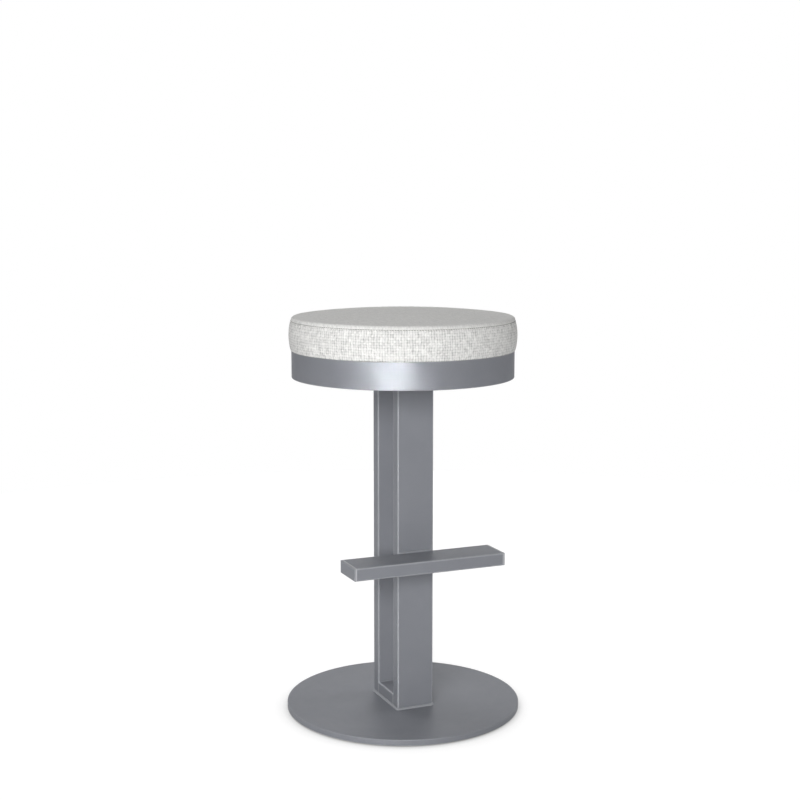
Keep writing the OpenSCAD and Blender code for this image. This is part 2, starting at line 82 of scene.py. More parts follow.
def add_node(tree, kind, inputs=None, **settings):
    """Adds a shader node. inputs maps a socket's name or number to a value or to another node's output."""
    made = tree.nodes.new("ShaderNode" + kind)
    for name, value in settings.items():
        setattr(made, name, value)
    for socket, value in (inputs or {}).items():
        if isinstance(value, bpy.types.NodeSocket):
            tree.links.new(value, made.inputs[socket])
        else:
            made.inputs[socket].default_value = value
    return made


def calc(tree, operation, *values):
    """Adds a maths node and returns its output."""
    return add_node(tree, "Math", dict(enumerate(values)), operation=operation).outputs[0]


def seen_in_picture(tree):
    """1 for a ray from the camera, a reflection or a refraction, and 0 for rays that only light things."""
    path = add_node(tree, "LightPath").outputs
    straight = calc(tree, "MAXIMUM", path["Is Camera Ray"], path["Is Transmission Ray"])
    return calc(tree, "MAXIMUM", straight, path["Is Glossy Ray"])


world = bpy.data.worlds.new("tent")
bpy.context.scene.world = world
world.use_nodes = True
tent = world.node_tree
tent.nodes.clear()
across = add_node(tent, "VectorMath", {
    0: add_node(tent, "TexCoord").outputs["Generated"],
    1: (math.cos(camera_azimuth), -math.sin(camera_azimuth), 0),
}, operation="DOT_PRODUCT").outputs["Value"]
gloss_level = add_node(tent, "MapRange", {
    "Value": calc(tent, "ABSOLUTE", across), "From Min": tent_side_start, "From Max": tent_side_end,
    "To Min": tent_gloss_middle, "To Max": tent_gloss_sides,
}).outputs["Result"]
camera_ray = add_node(tent, "LightPath").outputs["Is Camera Ray"]
shown = add_node(tent, "Background", {"Strength": calc(tent, "MAXIMUM", gloss_level, camera_ray)})
fill = add_node(tent, "Background", {"Strength": tent_fill})
for background in (shown, fill):
    background.inputs["Color"].default_value = (1, 1, 1, 1)
tent_mix = add_node(tent, "MixShader", {0: seen_in_picture(tent), 1: fill.outputs[0], 2: shown.outputs[0]})
add_node(tent, "OutputWorld", {"Surface": tent_mix.outputs[0]})


# Lamps
# Four softboxes light the matte surfaces: the key to the left of the camera, one at the right side, and two
# behind, one of them high up. A tall and narrow strip light with a grid, beside the key, shows only in the
# gloss and makes the highlight down the seat band.
lamp_distance = 4.0
lamp_aim = Vector((0, 0, 0.6))
softbox_size = 1.9
strip_width = 0.2
strip_height = 1.5
strip_spread = 6.0
strip_azimuth = 34.5
strip_elevation = 10.0
strip_power = 2.35


def add_lamp(name, azimuth, elevation, power):
    """A square softbox that faces the stool and isn't seen by the camera."""
    data = bpy.data.lights.new(name, "AREA")
    data.size = softbox_size
    data.energy = power
    lamp = bpy.data.objects.new(name, data)
    turn, rise = math.radians(azimuth), math.radians(elevation)
    towards = Vector((-math.sin(turn) * math.cos(rise), -math.cos(turn) * math.cos(rise), math.sin(rise)))
    lamp.location = lamp_aim + towards * lamp_distance
    lamp.rotation_euler = towards.to_track_quat("Z", "Y").to_euler()
    lamp.visible_camera = False
    bpy.context.collection.objects.link(lamp)
    return lamp


for name, azimuth, elevation, power in (
    ("key_lamp", 36.0, 12.0, 150.0),
    ("side_lamp", -92.0, 12.0, 62.0),
    ("back_lamp", 205.0, 15.0, 56.0),
    ("high_lamp", 160.0, 50.0, 45.0),
):
    add_lamp(name, azimuth, elevation, power).visible_glossy = False
strip_lamp = add_lamp("strip_lamp", strip_azimuth, strip_elevation, strip_power)
strip_lamp.visible_diffuse = False
strip_lamp.data.shape = "RECTANGLE"
strip_lamp.data.size = strip_width
strip_lamp.data.size_y = strip_height
strip_lamp.data.spread = math.radians(strip_spread)


# Floor
# A plain white studio floor, a hair below the glides. To the camera and the gloss it glows as well, so that
# it merges with the walls. It keeps the soft shadow that its matte part gets, and a painted shadow dims its
# glow close to the base.
floor_radius = 2.5
floor_drop = 0.0002
floor_sides = 96
floor_shown_diffuse = 0.2
floor_shown_glow = 0.90
floor_lit_diffuse = 0.8
contact_reach = 0.15
contact_shade = 0.66
floor_mesh = bpy.data.meshes.new("floor")
floor_form = bmesh.new()
bmesh.ops.create_circle(floor_form, cap_ends=True, segments=floor_sides, radius=floor_radius)
floor_form.to_mesh(floor_mesh)
floor_form.free()
floor = bpy.data.objects.new("floor", floor_mesh)
floor.location.z = -floor_drop
bpy.context.collection.objects.link(floor)
floor_material = bpy.data.materials.new("studio_floor")
floor_material.use_nodes = True
tree = floor_material.node_tree
tree.nodes.clear()
lit = add_node(tree, "BsdfDiffuse", {"Color": (floor_lit_diffuse,) * 3 + (1,)})
matte = add_node(tree, "BsdfDiffuse", {"Color": (floor_shown_diffuse,) * 3 + (1,)})
# Painted shadow: the glow is dimmed where the floor is hemmed in, close to the base.
openness = add_node(tree, "AmbientOcclusion", {"Distance": contact_reach}, samples=8).outputs["AO"]
painted_contact_shadow = calc(tree, "SUBTRACT", 1.0, openness)
glow_level = calc(tree, "MULTIPLY_ADD", painted_contact_shadow, -contact_shade, floor_shown_glow)
glow = add_node(tree, "Emission", {"Strength": glow_level})
shown_floor = add_node(tree, "AddShader", {0: matte.outputs[0], 1: glow.outputs[0]})
floor_mix = add_node(tree, "MixShader", {
    0: seen_in_picture(tree), 1: lit.outputs[0], 2: shown_floor.outputs[0],
})
add_node(tree, "OutputMaterial", {"Surface": floor_mix.outputs[0]})
floor_mesh.materials.append(floor_material)


# Floor glides
# Six round feet, moulded in black nylon and pressed into blind holes under the base plate.
# They keep the plate just clear of the floor.
def new_material(name):
    """An empty node material with a principled shader at its output."""
    material = bpy.data.materials.new(name)
    material.use_nodes = True
    tree = material.node_tree
    tree.nodes.clear()
    shader = add_node(tree, "BsdfPrincipled")
    add_node(tree, "OutputMaterial", {"Surface": shader.outputs[0]})
    return material, tree, shader


def set_inputs(tree, shader, **values):
    """Sets or links sockets by name, with an underscore for each space."""
    for name, value in values.items():
        socket = shader.inputs[name.replace("_", " ")]
        if isinstance(value, bpy.types.NodeSocket):
            tree.links.new(value, socket)
        else:
            socket.default_value = value


def place(tree, stretch=(1, 1, 1)):
    """The point on the piece in metres, in the stool's own frame, stretched before a texture reads it."""
    point = add_node(tree, "TexCoord").outputs["Object"]
    return add_node(tree, "VectorMath", {0: point, 1: stretch}, operation="MULTIPLY").outputs[0]


def noise(tree, where, scale, detail=2.0, low=0.0, high=1.0):
    """Soft noise from low to high. scale is in cells a metre."""
    usual_low = 0.3
    usual_high = 0.7
    value = add_node(tree, "TexNoise", {"Vector": where, "Scale": scale, "Detail": detail}).outputs["Fac"]
    return add_node(tree, "MapRange", {
        "Value": value, "From Min": usual_low, "From Max": usual_high, "To Min": low, "To Max": high,
    }).outputs["Result"]


def two_tone(tree, factor, first, second):
    """A colour between first and second."""
    return add_node(tree, "Mix", {"Factor": factor, "A": first + (1,), "B": second + (1,)},
                    data_type="RGBA").outputs["Result"]


def bump(tree, height, depth, normal=None):
    """A bump of that depth in metres where height runs from 0 to 1."""
    inputs = {"Height": height, "Distance": depth, "Strength": 1.0}
    if normal is not None:
        inputs["Normal"] = normal
    return add_node(tree, "Bump", inputs).outputs[0]


def colour_nodes(material, *names):
    """Gives CAD nodes a material."""
    for name in names:
        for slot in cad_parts[name].material_slots:
            slot.material = material


def moulded_nylon(name, first, second, roughness):
    """Nylon with a faint mottled colour and a fine tooled surface."""
    mottle_cells = 240.0
    gloss_cells = 700.0
    gloss_change = 0.05
    tooling_cells = 2600.0
    tooling_depth = 0.00003
    material, tree, shader = new_material(name)
    where = place(tree)
    set_inputs(
        tree, shader,
        Base_Color=two_tone(tree, noise(tree, where, mottle_cells), first, second),
        Roughness=noise(tree, where, gloss_cells,
                        low=roughness - gloss_change, high=roughness + gloss_change),
        Normal=bump(tree, noise(tree, where, tooling_cells), tooling_depth),
    )
    return material


glide_nylon = moulded_nylon("glide_nylon", (0.018, 0.018, 0.02), (0.028, 0.028, 0.03), 0.5)
colour_nodes(glide_nylon, "floor_glides")


# Base plate
# A laser-cut steel disc with its edges ground round, powder coated in one go with the column, the footrest
# and the seat pan: a satin silver-grey coat with fine metal flake and a faint orange peel.
paint_dark = (0.198, 0.205, 0.226)
paint_light = (0.239, 0.247, 0.270)
flake_cells = 5200.0
flake_depth = 0.000006
peel_cells = 560.0
peel_depth = 0.000006
cloud_cells = 22.0
cloud_change = 0.12
sheen_cells = 46.0
edge_width = 0.0020
edge_round = 0.0006
edge_start = 0.98
edge_full = 0.87


def powder_coat(name, glint_colour, metal=0.05, level=1.0):
    """The satin coat, with a painted highlight along its sharp edges in place of their glint. metal is how
    metallic its gloss is, from 0 to 1, and level makes its two tones brighter or darker."""
    material, tree, shader = new_material(name)
    where = place(tree)
    flakes = add_node(tree, "TexVoronoi", {"Vector": where, "Scale": flake_cells}).outputs["Color"]
    flake_level = add_node(tree, "SeparateColor", {0: flakes}).outputs[0]
    cloudy = noise(tree, where, cloud_cells, low=-cloud_change, high=cloud_change)
    tones = [tuple(Vector(tone) * level) for tone in (paint_dark, paint_light)]
    coat = two_tone(tree, calc(tree, "ADD", flake_level, cloudy), *tones)
    # Painted highlight: sharp edges, found by a short occlusion test into the solid, get a paler colour in
    # place of their glint.
    depth = add_node(tree, "AmbientOcclusion", {"Distance": edge_width},
                     samples=8, inside=True, only_local=True)
    painted_edge_glint = add_node(tree, "MapRange", {
        "Value": depth.outputs["AO"], "From Min": edge_start, "From Max": edge_full,
        "To Min": 0.0, "To Max": 1.0,
    }).outputs["Result"]
    coat = add_node(tree, "Mix", {"Factor": painted_edge_glint, "A": coat, "B": glint_colour + (1,)}, data_type="RGBA")
    rounded = add_node(tree, "Bevel", {"Radius": edge_round}, samples=4).outputs[0]
    peel = bump(tree, noise(tree, where, peel_cells, detail=1.0), peel_depth, rounded)
    set_inputs(
        tree, shader,
        Base_Color=coat.outputs["Result"],
        Metallic=metal,
        Specular_IOR_Level=0.15,
        Specular_Tint=(0.45, 0.45, 0.47, 1),
        Roughness=noise(tree, where, sheen_cells, low=0.44, high=0.50),
        Normal=bump(tree, flake_level, flake_depth, peel),
    )
    return material


# The second colour is the painted highlight along the plate's sharp edges.
plate_paint = powder_coat("plate_paint", (0.27, 0.278, 0.30))
colour_nodes(plate_paint, "base_plate")


# Column
# Two posts and two short rails of 3 by 1 inch steel tube, butted into an upright loop. The joints at the
# outside are filled and ground flush, and the inside corners of the window keep their fillet welds.
# Painted light: the frame's coat is the base plate's coat made seven per cent lighter, though both are coated
# in one go.
frame_painted_light = 1.07
# The second colour of each coat is its painted highlight along sharp edges.
tube_paint = powder_coat("tube_paint", (0.52, 0.53, 0.555), level=frame_painted_light)
bead_paint = powder_coat("bead_paint", (0.34, 0.348, 0.37), level=frame_painted_light)
flush_paint = powder_coat("flush_paint", (0.24, 0.247, 0.27), level=frame_painted_light)


def weld_bead(name, body, runs, leg, root=0.0002):
    """One object of fillet welds. A run is (points, outs, ups, closed), where out and up point along the two
    joined faces. root is how far the corner of the bead sinks into them.

    The face of each bead is a little full, with the curved ripples that a hand-held torch leaves."""
    ripple_pitch = 0.0016
    ripple_height = 0.07
    ripple_middle = 0.6
    ripple_lag = 0.35
    bead_full = 0.22
    end_height = 0.55
    end_taper = 1.5
    least_rings = 8
    face_steps = 5
    step = 0.0005
    form = bmesh.new()
    for points, outs, ups, painted_contact_shadow in runs:
        gaps = [0.0] + [(b - a).length for a, b in zip(points, points[1:] + points[:1])]
        stations = np.cumsum(gaps if painted_contact_shadow else gaps[:-1])
        length = stations[-1]
        count = max(least_rings, round(length / step))
        ring_places = np.arange(count) * length / count if painted_contact_shadow else np.linspace(0, length, count)
        rings = []
        tables = []
        for vectors in (points, outs, ups):
            table = np.array(vectors + vectors[:1] if painted_contact_shadow else vectors)
            tables.append([np.interp(ring_places, stations, table[:, axis]) for axis in range(3)])
        for i, s in enumerate(ring_places):
            corner, out, up = (Vector([column[i] for column in table]) for table in tables)
            end = 1.0 if painted_contact_shadow else min(1.0, end_height + min(s, length - s) / (end_taper * leg))
            ring = [form.verts.new(corner - (out + up) * root)]
            for j in range(face_steps + 1):
                t = j / face_steps
                full = math.sin(math.pi * t)
                ripple = abs(math.sin(math.pi * (s / ripple_pitch + ripple_lag * full)))
                swell = (1 + bead_full * full) * (1 + ripple_height * (ripple - ripple_middle)) * end
                ring.append(form.verts.new(corner + (out * (1 - t) + up * t) * leg * swell))
            rings.append(ring)
        for a, b in zip(rings, rings[1:] + rings[:1] if painted_contact_shadow else rings[1:]):
            for j in range(len(a)):
                k = (j + 1) % len(a)
                form.faces.new((a[j], a[k], b[k], b[j]))
        if not painted_contact_shadow:
            form.faces.new(rings[0][::-1])
            form.faces.new(rings[-1])
    bmesh.ops.recalc_face_normals(form, faces=form.faces)
    mesh = bpy.data.meshes.new(name)
    form.to_mesh(mesh)
    form.free()
    mesh.shade_smooth()
    mesh.materials.append(bead_paint)
    bead = bpy.data.objects.new(name, mesh)
    bpy.context.collection.objects.link(bead)
    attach(bead, body)
    return bead


def straight_run(start, end, out, up):
    """A run of weld from start to end."""
    return [Vector(start), Vector(end)], [Vector(out)] * 2, [Vector(up)] * 2, False


colour_nodes(tube_paint, "front_post", "rear_post", "foot_rail", "head_rail")
colour_nodes(flush_paint, "loop_welds")
post_low, post_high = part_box("front_post")
window_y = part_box("foot_rail")[1].y
window_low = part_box("foot_rail")[1].z
window_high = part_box("head_rail")[0].z
tube_corner = 0.0025
loop_leg = 0.0028
bead_x = post_high.x - tube_corner
loop_runs = [
    straight_run((-bead_x, side * window_y, z), (bead_x, side * window_y, z), (0, -side, 0), (0, 0, up))
    for side in (-1, 1) for z, up in ((window_low, 1), (window_high, -1))
]
window_beads = weld_bead("window_corner_beads", "base", loop_runs, loop_leg)
window_beads.data.materials[0] = flush_paint


# Foot weld
# One fillet weld all round the foot of the column, laid by hand on the base plate.
# It is coated with the frame, and its ripples show through the coat.
def round_the_column(z, up):
    """A closed run round the outline of the column at height z."""
    corner_steps = 6
    half_x, half_y = post_high.x, -post_low.y
    points, outs = [], []
    for corner_x, corner_y, start in ((1, -1, -90), (1, 1, 0), (-1, 1, 90), (-1, -1, 180)):
        centre = Vector((corner_x * (half_x - tube_corner), corner_y * (half_y - tube_corner), z))
        for i in range(corner_steps + 1):
            turn = math.radians(start + 90 / corner_steps * i)
            outs.append(Vector((math.cos(turn), math.sin(turn), 0)))
            points.append(centre + outs[-1] * tube_corner)
    return points, outs, [Vector((0, 0, up))] * len(points), True


column_leg = 0.0035
foot_bead = weld_bead("foot_bead", "base", [round_the_column(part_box("base_plate")[1].z, 1)], column_leg)
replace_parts(foot_bead, "foot_weld")


# Footrest
# A piece of the same tube laid flat across the front post, with a flat cap welded on each end and dressed
# smooth. Welds along its top and bottom edges and up both sides hold it.
colour_nodes(tube_paint, "footrest_tube")
colour_nodes(bead_paint, "footrest_end_caps")
rest_low, rest_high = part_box("footrest_tube")
post_front = post_low.y
rest_leg = 0.003
sink_share = 0.6
sink = sink_share * tube_corner
rest_runs = [
    straight_run((-bead_x, post_front, rest_high.z - sink), (bead_x, post_front, rest_high.z - sink),
                 (0, -1, 0), (0, 0, 1)),
    straight_run((-bead_x, post_front, rest_low.z + sink), (bead_x, post_front, rest_low.z + sink),
                 (0, -1, 0), (0, 0, -1)),
] + [
    straight_run((side * (post_high.x - sink), post_front, rest_low.z + tube_corner),
                 (side * (post_high.x - sink), post_front, rest_high.z - tube_corner),
                 (side, 0, 0), (0, 1, 0))
    for side in (-1, 1)
]
footrest_beads = weld_bead("footrest_beads", "base", rest_runs, rest_leg + sink)
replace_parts(footrest_beads, "footrest_weld")


# Mount plate
# A square steel plate that closes the top of the column and is welded to it all round underneath.
# It carries the swivel.
colour_nodes(plate_paint, "mount_plate")
head_bead = weld_bead("head_bead", "base", [round_the_column(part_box("mount_plate")[0].z, -1)], column_leg)
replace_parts(head_bead, "head_weld")


# Swivel plates and their fasteners
# Two pressed steel race plates, their weld nuts, bolts, washers and screws, all bright zinc plated:
# pale and slightly blue, with the soft patches that the plating bath leaves.
zinc_dark = (0.55, 0.565, 0.59)
zinc_light = (0.69, 0.695, 0.70)
zinc_patch_cells = 130.0
zinc_gloss_cells = 320.0
zinc_grain_cells = 1800.0
zinc_grain_depth = 0.00001
zinc_plate, tree, shader = new_material("zinc_plate")
where = place(tree)
set_inputs(
    tree, shader,
    Base_Color=two_tone(tree, noise(tree, where, zinc_patch_cells), zinc_dark, zinc_light),
    Metallic=1.0,
    Roughness=noise(tree, where, zinc_gloss_cells, low=0.24, high=0.38),
    Normal=bump(tree, noise(tree, where, zinc_grain_cells), zinc_grain_depth),
)
colour_nodes(zinc_plate, "lower_race_plate", "lower_weld_nuts", "lower_bolts", "lower_washers",
             "upper_race_plate", "upper_weld_nuts", "upper_screws")


# Pivot rivet and bearing balls
# Hardened and polished steel, with hair-fine turning lines. The rivet holds the two race plates together,
# and the balls run between them in the pressed grooves.
steel_dark = (0.62, 0.63, 0.65)
steel_light = (0.70, 0.71, 0.73)
steel_tone_cells = 420.0
steel_gloss_cells = 900.0
turning_cells = 900.0
turning_stretch = (1, 1, 12)
turning_depth = 0.000003
bearing_steel, tree, shader = new_material("bearing_steel")
where = place(tree)
set_inputs(
    tree, shader,
    Base_Color=two_tone(tree, noise(tree, where, steel_tone_cells), steel_dark, steel_light),
    Metallic=1.0,
    Roughness=noise(tree, where, steel_gloss_cells, low=0.12, high=0.2),
    Normal=bump(tree, noise(tree, place(tree, turning_stretch), turning_cells), turning_depth),
)
colour_nodes(bearing_steel, "pivot_rivet", "bearing_balls")


# Ball cage and pivot bush
# Both are moulded in natural nylon. The cage keeps the balls apart as they run between the race plates,
# and the bush lines the hole round the rivet.
bearing_nylon = moulded_nylon("bearing_nylon", (0.74, 0.72, 0.65), (0.80, 0.785, 0.73), 0.42)
colour_nodes(bearing_nylon, "ball_cage", "pivot_bush")


# Seat pan and seat band
# A round steel pan inside a rolled flat band, joined from below by stitch welds and powder coated with the
# column. Their gloss is more metallic than the column's, so that the strip light shows strongly in the band.
# The second colour is the painted highlight along the band's sharp edges.
band_paint = powder_coat("band_paint", (0.28, 0.288, 0.31), metal=0.45, level=frame_painted_light)
colour_nodes(band_paint, "seat_pan", "seat_band")
pan_low, pan_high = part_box("seat_pan")
pan_weld_count = 8
pan_weld_half_angle = 4
pan_weld_leg = 0.003
pan_runs = []
for i in range(pan_weld_count):
    middle = 360 * i / pan_weld_count
    turns = [math.radians(middle + a) for a in range(-pan_weld_half_angle, pan_weld_half_angle + 1)]
    rays = [Vector((math.cos(a), math.sin(a), 0)) for a in turns]
    pan_runs.append(([ray * pan_high.x + Vector((0, 0, pan_low.z)) for ray in rays],
                     [-ray for ray in rays], [Vector((0, 0, -1))] * len(rays), False))
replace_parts(weld_bead("pan_beads", "seat", pan_runs, pan_weld_leg), "pan_welds")


# Seat board, tee nuts and seat screws
# A birch plywood disc with tee nuts pressed in from above. Four screws come up through the pan and hold it.
# The grain runs along X on its faces, and the thin plies show round its edge.
ply_height = 0.0017
grain_cells = 34.0
grain_stretch = (1, 14, 14)
grain_depth = 0.00012
vein_cells = 52.0
vein_stretch = (1, 40, 1)
vein_change = 0.25
board_gloss_cells = 300.0
board_plywood, tree, shader = new_material("board_plywood")
grain = noise(tree, place(tree, grain_stretch), grain_cells, detail=5.0)
veins = noise(tree, place(tree, vein_stretch), vein_cells, detail=2.0, low=-vein_change, high=vein_change)
face_wood = two_tone(tree, calc(tree, "ADD", grain, veins), (0.46, 0.31, 0.17), (0.64, 0.47, 0.28))
height = add_node(tree, "SeparateXYZ", {0: place(tree)}).outputs["Z"]
ply = calc(tree, "PINGPONG", calc(tree, "DIVIDE", height, ply_height), 1.0)
edge_wood = two_tone(tree, calc(tree, "GREATER_THAN", ply, 0.5), (0.33, 0.21, 0.11), (0.58, 0.42, 0.25))
normal_z = add_node(tree, "SeparateXYZ", {0: add_node(tree, "NewGeometry").outputs["Normal"]}).outputs["Z"]
on_face = calc(tree, "GREATER_THAN", calc(tree, "ABSOLUTE", normal_z), 0.5)
wood = add_node(tree, "Mix", {"Factor": on_face, "A": edge_wood, "B": face_wood}, data_type="RGBA")
set_inputs(
    tree, shader,
    Base_Color=wood.outputs["Result"],
    Roughness=noise(tree, place(tree), board_gloss_cells, low=0.55, high=0.7),
    Normal=bump(tree, grain, grain_depth),
)
colour_nodes(board_plywood, "seat_board")
colour_nodes(zinc_plate, "tee_nuts", "seat_screws")


# Cover shape
# The cover is cut and sewn from two pieces of heavy woven cloth, a strip round the side and a round top
# panel, and the foam holds it taut. Its half section is worked out here from the solids that it stands for.
cloth_thickness = 0.0012
foot_overhang = 0.002
tuck_radius = 0.003
side_bulge = 0.0035
seam_overhang = 0.0015
seam_half_width = 0.0011
seam_allowance = 0.003
rim_radius = 0.007
rim_step = 0.0008
rim_lift = 0.0010
rim_points = 24
section_points = 60
hem_width = 0.024
board_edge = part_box("seat_board")[1].x
seat_frame_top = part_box("seat_band")[1].z
seam_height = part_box("cover_top")[0].z
crown_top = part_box("cover_top")[1].z
foot_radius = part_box("seat_band")[1].x + foot_overhang
seam_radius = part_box("seat_band")[1].x + seam_overhang
rim_centre = (seam_radius - rim_step - rim_radius, seam_height + rim_lift)


def arc(centre, radius, start, end, count):
    """Points on a circle, angles in degrees."""
    turns = np.radians(np.linspace(start, end, count))
    return np.column_stack([centre[0] + radius * np.cos(turns), centre[1] + radius * np.sin(turns)])


def bulging_line(start, end, sag, count):
    """Points on the arc from start up to end that stands out by sag."""
    start, end = np.array(start), np.array(end)
    chord = np.linalg.norm(end - start)
    along = (end - start) / chord
    out = np.array([along[1], -along[0]])
    radius = (chord * chord / 4 + sag * sag) / (2 * sag)
    half = math.asin(chord / 2 / radius)
    turns = np.linspace(-half, half, count)[:, None]
    return (start + end) / 2 + radius * (np.cos(turns) - 1) * out + sag * out + radius * np.sin(turns) * along


def side_section(bulge):
    """Side strip from the top of its tuck up to the seam."""
    shoulder = (seam_radius, seam_height - seam_half_width)
    return bulging_line((foot_radius, seat_frame_top + tuck_radius), shoulder, bulge, section_points)


def top_section(top):
    """Top panel from the seam over the rim to the middle of the crown, at height top there."""
    rise = top - (rim_centre[1] + rim_radius)
    slope = 2 * math.degrees(math.atan(rise / rim_centre[0]))
    crown_radius = rim_centre[0] / math.sin(math.radians(slope))
    rim = arc(rim_centre, rim_radius, 0, 90 - slope, rim_points)
    flat = arc((0, rim_centre[1] - crown_radius * math.cos(math.radians(slope))), crown_radius + rim_radius,
               90 - slope, 90, section_points)
    return np.vstack([rim, flat[1:]])


def spread(section, shares):
    """Points of a section at shares of its length."""
    steps = np.linalg.norm(np.diff(section, axis=0), axis=1)
    lengths = np.concatenate([[0], np.cumsum(steps)])
    return np.column_stack([np.interp(np.asarray(shares) * lengths[-1], lengths, section[:, axis])
                            for axis in range(2)])


# Inflating the cover
# The cloth is cut a little small, and the foam pushes it out. A cloth simulation under pressure, held at the
# tuck, along the seam and over the foam's rim, gives the fullness of the side strip and the crown.
cut_bulge = 0.0002
cut_crown = 0.0040
held_rim_rings = 2
sim_turns = 144
sim_side = 10
sim_top = 34
sim_frames = 20
sim_pressure = 4.0
cap_move = 0.006


def inflate():
    """Simulates the cloth and returns how far it moved out and up, on a grid of rings by turns."""
    shares = np.linspace(0, 1, sim_side + 1), np.linspace(0, 1, sim_top + 1)
    section = np.vstack([spread(side_section(side_bulge - cut_bulge), shares[0]),
                         spread(top_section(crown_top - cut_crown), shares[1])[:-1]])
    turns = np.arange(sim_turns) * 2 * math.pi / sim_turns
    rays = np.column_stack([np.cos(turns), np.sin(turns)])
    places = np.array([[r * ray[0], r * ray[1], z] for r, z in section for ray in rays])
    top_place = spread(top_section(crown_top - cut_crown), [1.0])[0]
    places = np.vstack([places, [[0, 0, top_place[1]]]])
    rings = len(section)
    faces = [(a * sim_turns + i, a * sim_turns + (i + 1) % sim_turns,
              (a + 1) * sim_turns + (i + 1) % sim_turns, (a + 1) * sim_turns + i)
             for a in range(rings - 1) for i in range(sim_turns)]
    last = (rings - 1) * sim_turns
    faces += [(last + i, last + (i + 1) % sim_turns, rings * sim_turns) for i in range(sim_turns)]
    mesh = bpy.data.meshes.new("cloth_cut")
    mesh.from_pydata(places.tolist(), [], faces)
    cloth = bpy.data.objects.new("cloth_cut", mesh)
    bpy.context.collection.objects.link(cloth)
    held = cloth.vertex_groups.new(name="held")
    rim_end = sim_side + 2 + held_rim_rings
    held.add([*range(sim_turns), *range(sim_side * sim_turns, rim_end * sim_turns)], 1.0, "REPLACE")
    modifier = cloth.modifiers.new("cloth", "CLOTH")
    settings = modifier.settings
    settings.quality = 6
    settings.mass = 0.02
    settings.tension_stiffness = settings.compression_stiffness = 20
    settings.bending_stiffness = 4
    settings.use_pressure = True
    settings.uniform_pressure_force = sim_pressure
    settings.vertex_group_mass = "held"
    settings.effector_weights.gravity = 0
    modifier.collision_settings.use_self_collision = False
    modifier.point_cache.frame_start, modifier.point_cache.frame_end = 1, sim_frames
    for number in range(1, sim_frames + 1):
        bpy.context.scene.frame_set(number)
    settled = cloth.evaluated_get(bpy.context.evaluated_depsgraph_get())
    after = np.array([v.co for v in settled.data.vertices])
    bpy.context.scene.frame_set(1)
    bpy.data.objects.remove(cloth)
    bpy.data.meshes.remove(mesh)
    moved = after - places
    far = np.maximum(np.linalg.norm(moved, axis=1, keepdims=True), 1e-9)
    moved *= np.minimum(1.0, cap_move / far)
    middle = np.tile(moved[-1], (sim_turns, 1))
    grid = np.vstack([moved[:-1], middle]).reshape(rings + 1, sim_turns, 3)
    out = grid[:, :, 0] * rays[:, 0] + grid[:, :, 1] * rays[:, 1]
    up = grid[:, :, 2]
    for moves in (out, up):
        for start, end in ((0, sim_side), (sim_side + 1, rings)):
            below, here, above = moves[start:end - 1], moves[start + 1:end], moves[start + 2:end + 1]
            moves[start + 1:end] = (below + 2 * here + above) / 4
    return out, up


fullness = inflate()


# Cover side strip and top panel
# Both panels get their final form here: the cut shape with the simulated fullness, edges turned in along the
# seam, small puckers at the stitches and the slight unevenness of hand work. Each is a shell as thick as the
# real cloth.
stitch_count = 276
turn_count = 2 * stitch_count
seam_gap = 0.0002
pucker = 0.00022
pucker_reach = 0.0024
uneven = 0.00022
loose_height = 0.02
middle_rise = 1e-5
turn_radius = 0.0008
edge_points = 6
allowance_shares = (0.35, 1)
hem_rings = 4
tuck_end = -15
tuck_points = 6
side_ring_count = 22
side_crowding = 1.25
rim_shares = np.linspace(0, 0.075, 12)
crown_shares = np.linspace(0.1, 0.985, 34)
# Up to each share of the top panel, a ring keeps one point in so many.
thinned_rings = ((0.55, 1), (0.78, 2), (0.9, 4), (1.0, 8))
turns = np.arange(turn_count) * 2 * math.pi / turn_count
chance = np.random.default_rng(11)
waves = [(int(count), chance.uniform(0, 2 * math.pi), chance.uniform(0.3, 1.0))
         for count in chance.integers(3, 34, 9)]
waver = sum(size * np.cos(count * turns + phase) for count, phase, size in waves)
waver *= uneven / np.abs(waver).max()


def grown(share, panel_start, panel_rings):
    """The simulated fullness, out and up, round a ring at this share of its panel."""
    coarse = np.arange(sim_turns + 1) * 2 * math.pi / sim_turns
    at = panel_start + share * panel_rings
    low = min(int(at), panel_start + panel_rings - 1)
    both = []
    for grid in fullness:
        ring = grid[low] * (low + 1 - at) + grid[low + 1] * (at - low)
        both.append(np.interp(turns, coarse, np.append(ring, ring[0])))
    return both


def ring_points(radius, height, growth=(0.0, 0.0)):
    """A ring of the cover, with the puckers that the stitches draw in beside the seam."""
    near = math.exp(-abs(height - seam_height) / pucker_reach)
    loose = min(1.0, max(0.0, (height - seat_frame_top) / loose_height))
    out = radius + growth[0] + waver * loose - pucker * near * (np.arange(turn_count) % 2 == 0)
    up = np.full(turn_count, height) + growth[1]
    return np.column_stack([out * np.cos(turns), out * np.sin(turns), up])


